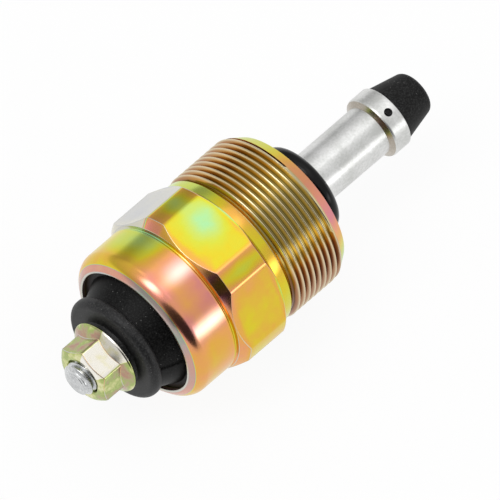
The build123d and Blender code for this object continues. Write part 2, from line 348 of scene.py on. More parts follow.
def yellow_zinc(
    name,
    round_axis,
    along_axis=(),
    spots=(),
    film_colours=FILM_COLOURS,
    wear_and_highlights=(),
    painted_thread_shade_and_crest=(),
    patchiness=0.06,
    patch_mm=(7.0, 1.6),
    roughness=0.20,
):
    """Yellow zinc on turned steel: film colours over metal, with fine tool marks, and where asked
    a thread's painted shade and pale crests, and painted highlight streaks.
    """
    material, tree, shader = new_material(name, Metallic=1.0)
    position = add_node(tree, "TexCoord").outputs["Object"]
    parts = add_node(tree, "SeparateXYZ", {"Vector": position})
    # The turn round the axis, 0.5 at the top, rising towards -Y and falling towards +Y
    side = add_node(tree, "Math", {0: parts.outputs["Y"], 1: -1.0}, operation="MULTIPLY")
    across = add_node(tree, "CombineXYZ", {"X": parts.outputs["Z"], "Y": side})
    wheel = add_node(tree, "TexGradient", {"Vector": across}, gradient_type="RADIAL")
    film = add_node(
        tree,
        "ValToRGB",
        {"Fac": wheel.outputs["Fac"]},
        [((degrees + 180) / 360, value) for degrees, value in round_axis],
    )
    if along_axis:
        first, last = along_axis[0][0], along_axis[-1][0]
        length = add_node(
            tree,
            "MapRange",
            {"Value": parts.outputs["X"], "From Min": first * MM, "From Max": last * MM},
        )
        stops = [((x - first) / (last - first), 0.5 + amount) for x, amount in along_axis]
        more = add_node(tree, "ValToRGB", {"Fac": length}, stops)
        less = add_node(tree, "Math", {0: more, 1: 0.5}, operation="SUBTRACT")
        film = add_node(tree, "Math", {0: film, 1: less}, operation="ADD")
    for feature_mm, share in zip(patch_mm, (1.0, 0.35)):
        patches = add_node(tree, "TexNoise", {"Vector": position, "Scale": 1 / (feature_mm * MM)})
        centred = add_node(tree, "Math", {0: patches, 1: 0.5}, operation="SUBTRACT")
        inputs = {0: centred, 1: 2 * patchiness * share, 2: film}
        film = add_node(tree, "Math", inputs, operation="MULTIPLY_ADD")
    for place, size, amount in spots:
        film = add_spot(tree, position, film, place, size, amount)
    colours = add_node(tree, "ValToRGB", {"Fac": film}, film_colours)
    if painted_thread_shade_and_crest:
        # On a thread the valleys are darkened as painted shade, and the crests are mixed pale,
        # partly as rubbed wear and partly as a painted highlight
        first, last = painted_thread_shade_and_crest[0][0], painted_thread_shade_and_crest[-1][0]
        outwards = add_node(tree, "VectorMath", {0: across}, operation="LENGTH")
        depth = add_node(
            tree,
            "MapRange",
            {"Value": outwards, "From Min": first * MM, "From Max": last * MM},
        )
        painted_shades = [((r - first) / (last - first), painted_shade) for r, painted_shade, _ in painted_thread_shade_and_crest]
        rubbed = [((r - first) / (last - first), share) for r, _, share in painted_thread_shade_and_crest]
        painted_shade = add_node(tree, "ValToRGB", {"Fac": depth}, painted_shades)
        inputs = {"Factor": 1.0, "A": colours, "B": painted_shade}
        shaded = add_node(tree, "Mix", inputs, data_type="RGBA", blend_type="MULTIPLY")
        share = add_node(tree, "ValToRGB", {"Fac": depth}, rubbed)
        inputs = {"Factor": share, "A": shaded, "B": linear(CREST_WEAR_AND_GLINT)}
        colours = add_node(tree, "Mix", inputs, data_type="RGBA")
    # Spots mixed towards near white here are painted highlights
    for place, size, amount in wear_and_highlights:
        share = add_spot(tree, position, 0.0, place, size, amount)
        inputs = {"Factor": share, "A": colours, "B": linear(PAINTED_HIGHLIGHT_STREAK)}
        colours = add_node(tree, "Mix", inputs, data_type="RGBA")
    # Turned steel keeps marks about 0.12 mm apart under the plating
    marks = add_node(
        tree,
        "TexNoise",
        {"W": parts.outputs["X"], "Scale": 1 / (0.12 * MM)},
        noise_dimensions="1D",
    )
    grain = add_node(tree, "TexNoise", {"Vector": position, "Scale": 1 / (0.25 * MM)})
    relief = add_node(tree, "Math", {0: grain, 1: 0.4, 2: marks}, operation="MULTIPLY_ADD")
    bump = add_node(tree, "Bump", {"Strength": 0.10, "Distance": 0.004 * MM, "Height": relief})
    smudges = add_node(tree, "TexNoise", {"Vector": position, "Scale": 1 / (3.0 * MM)})
    inputs = {0: smudges, 1: 0.12, 2: roughness - 0.06}
    rough = add_node(tree, "Math", inputs, operation="MULTIPLY_ADD")
    set_inputs(tree, shader, {"Base Color": colours, "Normal": bump, "Roughness": rough})
    return material


# %% [markdown]
# The film is not alike on the skirt, the hexagon and the thread, so each has
# its own run of thickness round the axis. Turns are measured from the top.

# %% Plating on the skirt
# Yellow on the far side, salmon on top and orange on the near side, with a rosy
# grey rim and two pale streaks that are painted highlights
skirt_zinc = yellow_zinc(
    "yellow_zinc_skirt",
    [(-180, 0.86), (-85, 0.86), (-66, 0.80), (-50, 0.81), (-32, 0.81), (-20, 0.84), (-11, 0.91),
     (-2, 0.95), (8, 0.94), (18, 0.91), (26, 0.90), (34, 0.93), (46, 0.95), (54, 0.91),
     (62, 0.885), (84, 0.89), (110, 0.82), (180, 0.86)],
    along_axis=[(-23.02, -0.38), (-22.90, -0.41), (-22.84, -0.42), (-22.46, -0.42), (-22.40, 0.02),
                (-21.8, 0.03), (-20.8, 0.03), (-19.5, 0.0), (-17.0, 0.01), (-16.1, 0.02),
                (-15.6, -0.08)],
    spots=[
        (on_axis_turn(-16.0, 11.7, -26), 5.0, -0.12),
        (on_axis_turn(-17.5, 11.7, -44), 4.0, -0.09),
        (on_axis_turn(-16.5, 11.7, 24), 4.0, 0.05),
    ],
    # These pale streaks are painted highlights
    wear_and_highlights=[(on_axis_turn(x, 11.75, 5), 2.6, 0.34) for x in (-18.4, -17.2, -16.0)]
    + [(on_axis_turn(x, 11.75, 45.5), 2.6, 0.20) for x in (-20.0, -18.5, -17.0)],
)

# %% Plating on the hexagon
# The flats are yellow and turn orange near their corners; the narrow orange-pink lines at 23 and
# 37 degrees are painted glints along the edges. One lost its film.
hexagon_zinc = yellow_zinc(
    "yellow_zinc_hexagon",
    [(-180, 0.85), (-84, 0.04), (-38.4, 0.05), (-37.4, 0.87), (-23, 0.86), (-22.2, 0.80),
     (0, 0.80), (20, 0.82), (23, 0.93), (26, 0.86), (30, 0.80), (34, 0.86), (37, 0.93),
     (39, 0.88), (50, 0.84), (64, 0.80), (80, 0.85), (110, 0.80), (180, 0.85)],
    along_axis=[(-15.2, 0.08), (-14.4, 0.07), (-13.8, 0.02), (-13.0, 0.0), (-7.6, 0.0),
                (-6.9, 0.05), (-6.5, -0.16)],
    spots=[
        (on_axis_turn(-9.4, 12.0, -10), 4.6, -0.13),
        (on_axis_turn(-10.6, 12.0, 0), 4.0, -0.04),
        (on_axis_turn(-10.2, 12.9, -30), 3.0, -0.14),
        (on_axis_turn(-10.6, 12.9, 30), 2.6, -0.04),
    ],
    patchiness=0.08,
)

# %% Plating on the thread
# Pale straw on top and brown on the sides, partly the film's colour and partly a
# painted highlight on top and painted shade on the sides. The valleys get painted
# shade, and the crests are pale, partly from rubbing and partly a painted highlight
thread_zinc = yellow_zinc(
    "yellow_zinc_thread",
    [(-180, 0.95), (-75, 0.95), (-55, 0.75), (-30, 0.58), (-8, 0.40), (3, 0.20), (12, 0.05),
     (34, 0.05), (45, 0.18), (54, 0.40), (62, 0.80), (75, 1.0), (180, 0.95)],
    film_colours=THREAD_FILM_SHADED_COLOURS,
    painted_thread_shade_and_crest=[(11.0, 1.0, 0.2), (11.3, 1.0, 0.2), (11.38, 0.42, 0.0), (11.45, 0.62, 0.0),
                   (11.58, 0.95, 0.0), (11.76, 1.0, 0.1),
                   (11.88, 1.0, 0.5), (11.97, 1.0, 0.85)],
    patchiness=0.16,
    roughness=0.17,
)

# %% Plating on worn edges with a painted glint, and on the lead-in cone
# An edge keeps little film, so it is silver, and straw on top: partly real wear and partly a
# painted glint
edge_zinc = yellow_zinc(
    "yellow_zinc_edges_worn_and_glinting",
    [(-180, 0.06), (-45, 0.04), (0, 0.36), (60, 0.34), (86, 0.08), (180, 0.06)],
    patchiness=0.10,
    roughness=0.26,
)
# The cone is rougher than the rest, so its pink and green look soft
cone_zinc = yellow_zinc(
    "yellow_zinc_lead_in",
    [(-180, 0.92), (-75, 0.70), (-45, 0.74), (-20, 0.80), (0, 0.91), (17, 0.96), (45, 1.0),
     (90, 0.66), (130, 0.90), (180, 0.92)],
    roughness=0.30,
)
housing_finishes = [skirt_zinc, hexagon_zinc, thread_zinc, cone_zinc, edge_zinc]
print("plated finishes:", [finish.name for finish in housing_finishes])

# %% [markdown]
# ## The housing
# One steel turning: a skirt whose rear edge is rolled inwards over the
# insulator, a hexagon for the spanner, a collar, a relief groove and the
# thread. The whole outline is turned first, hollow as the real one is.

# %% Housing sizes
SKIRT_RADIUS = 11.75
CORNER_RADIUS = 13.0
HEX_REAR = -15.2
HEX_FRONT = -6.5
HEX_REAR_RADIUS = 11.9
REAR_CHAMFER = 1.2
FRONT_CHAMFER = 0.8
COLLAR_RADIUS = 11.8
COLLAR_END = -5.0
RELIEF_RADIUS = 10.85
THREAD_START = -4.2
THREAD_END = 4.2
THREAD_RADIUS = 12.0
THREAD_ROOT = 11.38
THREAD_PITCH = 1.0
THREAD_RUNOUT = 0.2
THREAD_CUT_END = 4.6
LEAD_IN_END = 6.2
LEAD_IN_RADIUS = 10.7
LIP_RADIUS = 9.73
LIP_FACE = 0.42
LIP_BEND = 1.25
LIP_THICKNESS = 0.75
CAN_BORE = 10.2
CAN_FLOOR = -5.3
NOSE_RADIUS = 6.2
SLEEVE_HOLE = 4.35
HOUSING_STEPS = 240
cone_slope = (THREAD_RADIUS - LEAD_IN_RADIUS) / (LEAD_IN_END - THREAD_END)
thread_rear = (THREAD_START - THREAD_RUNOUT, THREAD_ROOT - 0.02)
thread_front = (THREAD_CUT_END, THREAD_RADIUS - cone_slope * (THREAD_CUT_END - THREAD_END))

# %% Turn the housing
rear_ring = (HEX_REAR + REAR_CHAMFER, CORNER_RADIUS)
front_ring = (HEX_FRONT - FRONT_CHAMFER, CORNER_RADIUS)
housing_corners = [
    # The lip that is rolled in over the insulator
    (skirt_end, LIP_RADIUS, 0.14),
    (skirt_end, LIP_RADIUS + LIP_FACE, 0.4),
    (skirt_end + LIP_BEND, SKIRT_RADIUS, 0.95),
    # A shallow groove between the skirt and the hexagon
    (HEX_REAR - 0.55, SKIRT_RADIUS, 0.08),
    (HEX_REAR - 0.35, SKIRT_RADIUS - 0.3, 0.08),
    (HEX_REAR - 0.15, SKIRT_RADIUS - 0.3, 0.08),
    # The hexagon, round as yet, between its two chamfers
    (HEX_REAR, HEX_REAR_RADIUS - 0.1, 0),
    (HEX_REAR, HEX_REAR_RADIUS, 0),
    (*rear_ring, 0),
    (*front_ring, 0),
    (HEX_FRONT, flat_radius, 0),
    # The collar and the relief groove
    (HEX_FRONT + 0.05, COLLAR_RADIUS, 0),
    (COLLAR_END, COLLAR_RADIUS, 0.1),
    (COLLAR_END + 0.05, RELIEF_RADIUS, 0.06),
    (thread_rear[0] - 0.1, RELIEF_RADIUS, 0.04),
    # The thread, plain as yet, the lead-in cone and the nose
    (*thread_rear, 0),
    (*thread_front, 0),
    (LEAD_IN_END, LEAD_IN_RADIUS, 0.1),
    (LEAD_IN_END, NOSE_RADIUS, 0.1),
    (nose_end, NOSE_RADIUS, 0.4),
    # The sleeve's hole and the bore that holds the coil
    (nose_end, SLEEVE_HOLE, 0.1),
    (CAN_FLOOR, SLEEVE_HOLE, 0),
    (CAN_FLOOR, CAN_BORE, 0),
    (skirt_end + LIP_THICKNESS, CAN_BORE, 0),
    (skirt_end + LIP_THICKNESS, LIP_RADIUS, 0.1),
]
housing = turn_profile(housing_corners, HOUSING_STEPS)
print("housing faces:", len(housing.faces))

# %% [markdown]
# ## Six flats
# A hexagon with turned corners has a curved edge where each flat meets the
# chamfer. Cutting it with planes would break the clean rings, so the rings are
# slid instead: where a flat bites, each ring runs down its chamfer until it
# meets the flat. Then the sharp edges get the small rounding of a plated part.

# %% Mill six flats
def mill_flats(bm, flat, rings, steps, first_turn=0.0):
    """Slide each ring of a turning down its slope to where six flats cut it.

    A ring is ((x, radius) of the ring, (x, radius) of its slope's lower end).
    """
    sixth = math.tau / 6
    for ring, foot in rings:
        edge_turn = math.acos(flat / ring[1])
        for vert in bm.verts:
            if abs(vert.co.x / MM - ring[0]) > 0.002 or abs(radius_of(vert) - ring[1]) > 0.01:
                continue
            turn = turn_of(vert) - first_turn
            middle = round(turn / sixth) * sixth
            off = turn - middle
            if abs(abs(off) - edge_turn) <= math.pi / steps:
                off = math.copysign(edge_turn, off)
            cut = min(ring[1], flat / math.cos(off))
            share = (cut - foot[1]) / (ring[1] - foot[1])
            x = foot[0] + share * (ring[0] - foot[0])
            move_to(vert, x, cut, middle + off + first_turn)


def ease_edges(bm, chosen, size):
    """Round the sharp edges between chosen vertices, and give the new faces slot 1."""
    sharp = [
        edge
        for edge in bm.edges
        if all(chosen(v) for v in edge.verts) and is_sharp(edge, EASED_EDGE)
    ]
    bmesh.ops.bevel(
        bm,
        geom=sharp,
        offset=size * MM,
        offset_type="OFFSET",
        segments=2,
        profile=0.5,
        affect="EDGES",
        clamp_overlap=False,
        material=1,
    )


# %% The housing's hexagon
EDGE_ROUND = 0.05
mill_flats(
    housing,
    flat_radius,
    [
        (rear_ring, (HEX_REAR, HEX_REAR_RADIUS)),
        (front_ring, (HEX_FRONT, flat_radius - 0.001)),
    ],
    HOUSING_STEPS,
)


def on_hexagon(vert):
    """Tell whether a vertex is on the hexagon, except where the front chamfer ends."""
    x = vert.co.x / MM
    least = HEX_REAR_RADIUS - 0.05 if x < (HEX_REAR + HEX_FRONT) / 2 else flat_radius + 0.12
    return HEX_REAR - 0.01 < x < HEX_FRONT and radius_of(vert) > least


ease_edges(housing, on_hexagon, EDGE_ROUND)
print("housing faces:", len(housing.faces))

# %% [markdown]
# ## The thread
# A thread is one ridge profile carried round the axis while it moves along it
# by a pitch a turn. Spin does that when it is given a step along the axis as
# well. The helix is made a little too long, pulled in under the relief and the
# lead-in cone, and cut off square with bisect_plane. Both cuts are then clean
# circles, so the thread takes the place of the plain stretch between two rings
# of the turning, column for column.

# %% Cut a helical thread
def thread_profile(pitch, crest, root, steps):
    """Give one pitch of a 60 degree thread as (x, radius) points, root to root."""
    flank = (crest - root) * math.tan(math.radians(30))
    flat = (pitch - 2 * flank) * 0.45
    valley = pitch - 2 * flank - flat
    shoulder = crest - 0.10 * (crest - root)
    points = [
        (0.0, root),
        (valley, root),
        (valley + flank * 0.9, shoulder),
        (valley + flank + flat * 0.15, crest),
        (valley + flank + flat * 0.85, crest),
        (valley + flank * 1.1 + flat, shoulder),
        (pitch, root),
    ]
    return [(round(x / pitch * steps) * pitch / steps, r) for x, r in points]


def cut_thread(bm, rear, front, pitch, crest, root, envelope, steps):
    """Give a turning a right-hand thread between its rings rear and front."""
    plain = [
        face
        for face in bm.faces
        if all(rear[0] - 0.001 <= v.co.x / MM <= front[0] + 0.001 for v in face.verts)
        and all(radius_of(v) > min(rear[1], front[1]) - 0.01 for v in face.verts)
    ]
    bmesh.ops.delete(bm, geom=plain, context="FACES")
    sleeve = bmesh.new()
    points = thread_profile(pitch, crest, root, steps)
    draw_profile(sleeve, [(rear[0] - pitch + x, r, 0) for x, r in points], closed=False)
    spin_round(sleeve, steps, advance=pitch)
    one_turn = sleeve.verts[:] + sleeve.edges[:] + sleeve.faces[:]
    for turn in range(1, math.ceil((front[0] - rear[0]) / pitch) + 2):
        copied = bmesh.ops.duplicate(sleeve, geom=one_turn)["geom"]
        moved = [part for part in copied if isinstance(part, bmesh.types.BMVert)]
        bmesh.ops.translate(sleeve, verts=moved, vec=(turn * pitch * MM, 0, 0))
    bmesh.ops.remove_doubles(sleeve, verts=sleeve.verts[:], dist=0.004 * MM)
    column = math.tau / steps
    for vert in sleeve.verts:
        x = vert.co.x / MM
        turn = round(turn_of(vert) / column) * column
        move_to(vert, x, min(radius_of(vert), envelope(x)), turn)
    for x, rear_side in ((rear[0], True), (front[0], False)):
        bmesh.ops.bisect_plane(
            sleeve,
            geom=sleeve.verts[:] + sleeve.edges[:] + sleeve.faces[:],
            dist=0.003 * MM,
            plane_co=(x * MM, 0, 0),
            plane_no=AXIS,
            clear_inner=rear_side,
            clear_outer=not rear_side,
        )
    for vert in sleeve.verts:
        for x, radius in (rear, front):
            if abs(vert.co.x / MM - x) < 0.004:
                move_to(vert, x, radius, turn_of(vert))
    cut = bpy.data.meshes.new("thread")
    sleeve.to_mesh(cut)
    sleeve.free()
    bm.from_mesh(cut)
    bpy.data.meshes.remove(cut)
    join_up(bm, 0.006)
    for edge in bm.edges:
        at_root = max(radius_of(v) for v in edge.verts) < root + 0.03
        if at_root and is_sharp(edge, ROOT_EDGE):
            edge.smooth = False
        for x, _ in (rear, front):
            if all(abs(v.co.x / MM - x) < 0.005 for v in edge.verts):
                edge.smooth = False
    open_edges = sum(1 for edge in bm.edges if len(edge.link_faces) != 2)
    print("threaded:", len(bm.faces), "faces,", open_edges, "open edges")


# %% The main thread, under the relief and the lead-in cone
def main_envelope(x):
    """Give the largest radius of the main thread at x."""
    if x < THREAD_START:
        slope = (THREAD_RADIUS - thread_rear[1]) / THREAD_RUNOUT
        return THREAD_RADIUS - slope * (THREAD_START - x)
    return THREAD_RADIUS - cone_slope * max(0.0, x - THREAD_END)


cut_thread(
    housing,
    thread_rear,
    thread_front,
    THREAD_PITCH,
    THREAD_RADIUS,
    THREAD_ROOT,
    main_envelope,
    HOUSING_STEPS,
)

# %% Zones of the plating
edge_slot = housing_finishes.index(edge_zinc)
zone_ends = (HEX_REAR - 0.1, COLLAR_END + 0.1, thread_front[0])
for face in housing.faces:
    x = face.calc_center_median().x / MM
    outwards = math.hypot(*face.calc_center_median().yz) / MM
    on_lip_edge = x < skirt_end + 0.2 and outwards < LIP_RADIUS + 0.24
    # Edges and the lip's inner edge take the pale edge finish: worn film and a painted glint
    wear_and_highlights = face.material_index == 1 or on_lip_edge
    # One flat of the hexagon lost its film, but the collar beside it kept it all round
    on_collar = HEX_FRONT < x < COLLAR_END + 0.1
    zone = 0 if on_collar else sum(1 for end in zone_ends if x > end)
    face.material_index = edge_slot if wear_and_highlights else zone
finish_piece("housing", housing, housing_finishes, "solenoid_body")

# %% [markdown]
# ## Moulded and rubber surfaces
# Rubber and phenolic are both near black, and the eye tells them apart by how
# they scatter light. Each gets its own roughness, a fine moulded grain, and a
# sprinkling of dust, as pale specks a few hundredths of a millimetre wide.

# %% A moulded finish
DUST = "#8c8c8a"
DUST_CLOUD = 2.5


def moulded(name, colour, roughness, grain_mm, depth_mm, specks=0.0, rubbed=0.0, **sockets):
    """A moulded black or coloured surface with a grain and pale specks of dust."""
    material, tree, shader = new_material(name, **sockets)
    position = add_node(tree, "TexCoord").outputs["Object"]
    # Dust is drawn 0.12 mm wide, because finer specks would not show
    cells = add_node(tree, "TexVoronoi", {"Vector": position, "Scale": 1 / (0.55 * MM)})
    dust = add_node(
        tree,
        "MapRange",
        {"Value": cells.outputs["Distance"], "From Min": 0.06, "From Max": 0.12,
         "To Min": specks, "To Max": 0.0},
    )
    cloud, grain = [
        add_node(tree, "TexNoise", {"Vector": position, "Scale": 1 / (size * MM), "Detail": 3.0})
        for size in (DUST_CLOUD, grain_mm)
    ]
    some = add_node(tree, "MapRange", {"Value": cloud, "From Min": 0.48, "From Max": 0.62})
    share = add_node(tree, "Math", {0: dust, 1: some}, operation="MULTIPLY")
    # The grain's high places are rubbed a little paler than its low ones
    paler = add_node(tree, "MapRange", {"Value": grain, "From Min": 0.45, "From Max": 0.75})
    faded = tuple(1.0 - (1.0 - c) * (1.0 - rubbed) for c in linear(colour))
    inputs = {"Factor": paler, "A": linear(colour), "B": faded}
    skin = add_node(tree, "Mix", inputs, data_type="RGBA")
    inputs = {"Factor": share, "A": skin, "B": linear(DUST)}
    dusty = add_node(tree, "Mix", inputs, data_type="RGBA")
    bump = add_node(tree, "Bump", {"Strength": 0.5, "Distance": depth_mm * MM, "Height": grain})
    inputs = {0: grain, 1: 0.40, 2: roughness - 0.20}
    rough = add_node(tree, "Math", inputs, operation="MULTIPLY_ADD")
    set_inputs(tree, shader, {"Base Color": dusty, "Normal": bump, "Roughness": rough})
    return material


print("moulded finishes start from an sRGB colour and a roughness")

# %% [markdown]
# ## The insulator cap
# The cap is moulded in black phenolic: a seat for the nut, a disc with a full
# round rim that keeps water off the joint, and a neck that flares out under
# the housing's lip. The two halves of its mould didn't meet quite true, so one
# side of the neck stands a hair proud of the other along the parting line.

# %% Turn the insulator cap
FOOT_RADIUS = 10.05
NECK_BASE = (skirt_end + LIP_THICKNESS, 8.85)
NECK_FLARE = (-23.35, 8.3)
NECK_WAIST = (-24.4, 7.84)
NECK_TOP = (-25.7, 7.2)
DISC_RADIUS = 8.07
DISC_FRONT_ROUND = 0.45
DISC_REAR_ROUND = 1.0
DISC_THICKNESS = 1.75
SEAT_RADIUS = 4.6
STUD_RADIUS = 2.5
STEP_FROM, STEP_TO, STEP_HEIGHT = 72, 148, 0.14
disc_rear = NECK_TOP[0] - DISC_THICKNESS
cap_bm = turn_profile(
    [
        (cap_rear, STUD_RADIUS, 0),
        (cap_rear, SEAT_RADIUS, 0.2),
        (disc_rear, SEAT_RADIUS + 0.3, 0.15),
        (disc_rear, DISC_RADIUS, DISC_REAR_ROUND),
        (NECK_TOP[0], DISC_RADIUS, DISC_FRONT_ROUND - 0.01),
        (*NECK_TOP, 0.06),
        (*NECK_WAIST, 0),
        (*NECK_FLARE, 0),
        (*NECK_BASE, 0),
        (NECK_BASE[0], FOOT_RADIUS, 0.1),
        (cap_front, FOOT_RADIUS, 0),
        (cap_front, STUD_RADIUS, 0),
    ],
    180,
)

# %% The step at the parting line
for vert in cap_bm.verts:
    x, turn = vert.co.x / MM, math.degrees(turn_of(vert)) % 360
    on_neck = NECK_TOP[0] - 0.03 < x < NECK_BASE[0] + 0.01 and 7.1 < radius_of(vert) < 8.9
    if not on_neck:
        continue
    if STEP_FROM - 0.5 < turn < STEP_TO + 0.5:
        move_to(vert, x, radius_of(vert) + STEP_HEIGHT, math.radians(turn))
    elif STEP_FROM - 2.5 < turn < STEP_FROM - 1.5:
        move_to(vert, x, radius_of(vert), math.radians(STEP_FROM - 0.4))
# The neck takes slot 1, the darker copy: painted shade
for face in cap_bm.faces:
    face.material_index = int(face.calc_center_median().x / MM > NECK_TOP[0])
# The disc's grain is a little paler and it shines more, and the neck gets a darker, duller copy of
# the same black as painted shade
phenolic = moulded(
    "black_phenolic_disc", "#0d0d0e", 0.50, 0.22, 0.022,
    specks=0.8, rubbed=0.04, Specular_IOR_Level=0.32,
)
phenolic_neck_painted_shade = moulded(
    "black_phenolic_neck_painted_shade", "#050505", 0.48, 0.22, 0.022,
    specks=1.0, rubbed=0.02, Specular_IOR_Level=0.12,
)
finish_piece("insulator_cap", cap_bm, [phenolic, phenolic_neck_painted_shade], "solenoid_body")

# %% [markdown]
# ## The front O-ring
# A nitrile ring sits round the nose and seals against the pump's head. It is
# oiled, so it is the glossiest of the black pieces.

# %% Turn the O-ring
section = (ring_front - ring_rear) / 2
ring_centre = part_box("front_o_ring")[1].z / MM - section
ring_bm = bmesh.new()
bmesh.ops.create_circle(
    ring_bm,
    segments=40,
    radius=section * MM,
    matrix=Matrix.Translation(((ring_rear + section) * MM, 0, ring_centre * MM))
    @ Matrix.Rotation(math.pi / 2, 4, "X"),
)
spin_round(ring_bm, 180)
join_up(ring_bm, SEAM_GAP)
# Oiled nitrile: deep black, with a small bright highlight
nitrile = moulded("nitrile_rubber_oiled", "#040404", 0.20, 0.4, 0.004, Specular_IOR_Level=0.20)
finish_piece("front_o_ring", ring_bm, [nitrile], "solenoid_body")

# %% [markdown]
# ## The rubber tip
# The tip is vulcanised into the plunger's cup and tapers to the face that
# closes the fuel port. It is a dull black with a faint rub of dust.

# %% Turn the rubber tip
TIP_ROUND = 0.85
TIP_END_RADIUS = 3.12
CUP_RADIUS = 4.38
tip_bm = turn_profile(
    [
        (cup_floor, 0, 0),
        (cup_floor, CUP_RADIUS, 0),
        (head_end + 0.05, CUP_RADIUS, 0.1),
        (tip_end, TIP_END_RADIUS, TIP_ROUND),
        (tip_end, 0, 0),
    ],
    128,
    closed=False,
)
# Vulcanised rubber: dull black, a little paler where it is rubbed
tip_rubber = moulded(
    "valve_rubber_vulcanised", "#070707", 0.55, 0.22, 0.014,
    specks=0.9, rubbed=0.03, Specular_IOR_Level=0.18,
)
finish_piece("rubber_tip", tip_bm, [tip_rubber], "plunger_assembly")

# %% [markdown]
# ## Bare and bright metals
# Ground, turned and drawn metal differ in how fine their marks are and which
# way they run. Here the marks run round the axis, as a lathe or a grinding
# wheel leaves them, so their pattern reads only the place along the axis. The
# grain and the drift between two tones have no direction.

# %% A metal finish with marks round the axis
TONE_DRIFT = 4.0


def worked_metal(name, colour, second_colour, roughness, mark_mm, depth_mm):
    """A metal with fine marks round the axis and a slow drift between two tones."""
    material, tree, shader = new_material(name, Metallic=1.0)
    position = add_node(tree, "TexCoord").outputs["Object"]
    parts = add_node(tree, "SeparateXYZ", {"Vector": position})
    inputs = {"Vector": position, "Scale": 1 / (TONE_DRIFT * MM), "Detail": 3.0}
    cloud = add_node(tree, "TexNoise", inputs)
    grain = add_node(tree, "TexNoise", {"Vector": position, "Scale": 1 / (2 * mark_mm * MM)})
    tone = add_node(tree, "Math", {0: grain, 1: 0.6, 2: cloud}, operation="MULTIPLY_ADD")
    tones = add_node(tree, "ValToRGB", {"Fac": tone}, [(0.62, colour), (1.0, second_colour)])
    marks = add_node(
        tree,
        "TexNoise",
        {"W": parts.outputs["X"], "Scale": 1 / (mark_mm * MM), "Detail": 3.0},
        noise_dimensions="1D",
    )
    relief = add_node(tree, "Math", {0: grain, 1: 0.35, 2: marks}, operation="MULTIPLY_ADD")
    bump = add_node(tree, "Bump", {"Strength": 0.3, "Distance": depth_mm * MM, "Height": relief})
    inputs = {0: marks, 1: 0.12, 2: roughness - 0.06}
    rough = add_node(tree, "Math", inputs, operation="MULTIPLY_ADD")
    set_inputs(tree, shader, {"Base Color": tones, "Normal": bump, "Roughness": rough})
    return material


print("metals keep their marks round the axis")

# %% [markdown]
# ## The plunger
# The stem is centreless ground, and the head is turned with a smooth cone
# behind it. A cross hole through the head's wall locks the rubber in. A Boolean
# modifier drills it, and its result is read back at once.

# %% Turn the plunger
STEM_RADIUS = 3.78
HEAD_RADIUS = 4.69
HEAD_START = 22.45
HEAD_RIM = 0.27
CONE_START = 22.03
SPRING_HOLE = 2.4
SPRING_HOLE_END = 0.8
HOLE_X, HOLE_TURN, HOLE_RADIUS = 23.83, 14.5, 0.6
# Rings this far beside the hole keep the cut away from the long faces
HOLE_BAND = 0.8
plunger_bm = turn_profile(
    [
        (SPRING_HOLE_END + 1.4, 0, 0),
        (SPRING_HOLE_END, SPRING_HOLE, 0),
        (plunger_rear, SPRING_HOLE, 0.3),
        (plunger_rear, STEM_RADIUS, 0.3),
        (CONE_START, STEM_RADIUS, 0),
        (HEAD_START, HEAD_RADIUS - 0.1, 0.05),
        (HEAD_START + HEAD_RIM, HEAD_RADIUS, 0.08),
        (HOLE_X - HOLE_BAND, HEAD_RADIUS, 0),
        (HOLE_X + HOLE_BAND, HEAD_RADIUS, 0),
        (head_end, HEAD_RADIUS, 0.1),
        (head_end, CUP_RADIUS, 0.05),
        (cup_floor, CUP_RADIUS, 0),
        (cup_floor, 0, 0),
    ],
    160,
    closed=False,
)


# %% Drill the cross hole
def drill(bm, radius, length, x, turn):
    """Cut a hole across the axis at x and a turn, and return the drilled bmesh."""
    tool = bmesh.new()
    place = Matrix.Translation((x * MM, 0, 0)) @ Matrix.Rotation(math.radians(turn), 4, "X")
    bmesh.ops.create_cone(
        tool,
        cap_ends=True,
        segments=40,
        radius1=radius * MM,
        radius2=radius * MM,
        depth=length * MM,
        matrix=place,
    )
    pair = []
    for name, shape in (("work", bm), ("drill", tool)):
        mesh = bpy.data.meshes.new(name)
        shape.to_mesh(mesh)
        shape.free()
        pair.append(bpy.data.objects.new(name, mesh))
        bpy.context.scene.collection.objects.link(pair[-1])
    work, drill_bit = pair
    cut = work.modifiers.new("cross hole", "BOOLEAN")
    cut.operation = "DIFFERENCE"
    cut.solver = "EXACT"
    cut.object = drill_bit
    evaluated = work.evaluated_get(bpy.context.evaluated_depsgraph_get())
    drilled = bmesh.new()
    drilled.from_mesh(evaluated.to_mesh())
    for piece in pair:
        bpy.data.meshes.remove(piece.data)
    return drilled


plunger_bm = drill(plunger_bm, HOLE_RADIUS, 2 * HEAD_RADIUS + 2, HOLE_X, HOLE_TURN)
# The cone behind the head takes slot 1, darker as a painted reflection
for face in plunger_bm.faces:
    middle = face.calc_center_median()
    on_cone = CONE_START < middle.x / MM < HEAD_START
    face.material_index = int(on_cone and math.hypot(*middle.yz) / MM > STEM_RADIUS)
# Ground steel: pale and satin. Its marks are drawn 0.16 mm apart, because the
# real ones are too fine to show.
ground_steel = worked_metal("steel_ground", "#c8c9c6", "#e4e4e3", 0.34, 0.16, 0.0022)
# Turned steel: darker and warmer than the stem as a painted reflection of the housing, and
# smoother
turned_steel_painted_reflection = worked_metal("steel_turned_painted_reflection", "#a49c91", "#beb7ac", 0.24, 0.10, 0.0010)
finish_piece("plunger", plunger_bm, [ground_steel, turned_steel_painted_reflection], "plunger_assembly")

# %% [markdown]
# ## The terminal stud
# An M5 stud carries the coil's live end out through the insulator. Its end is
# domed, and its thread is cut like the main one, with a pitch of 0.8 mm.

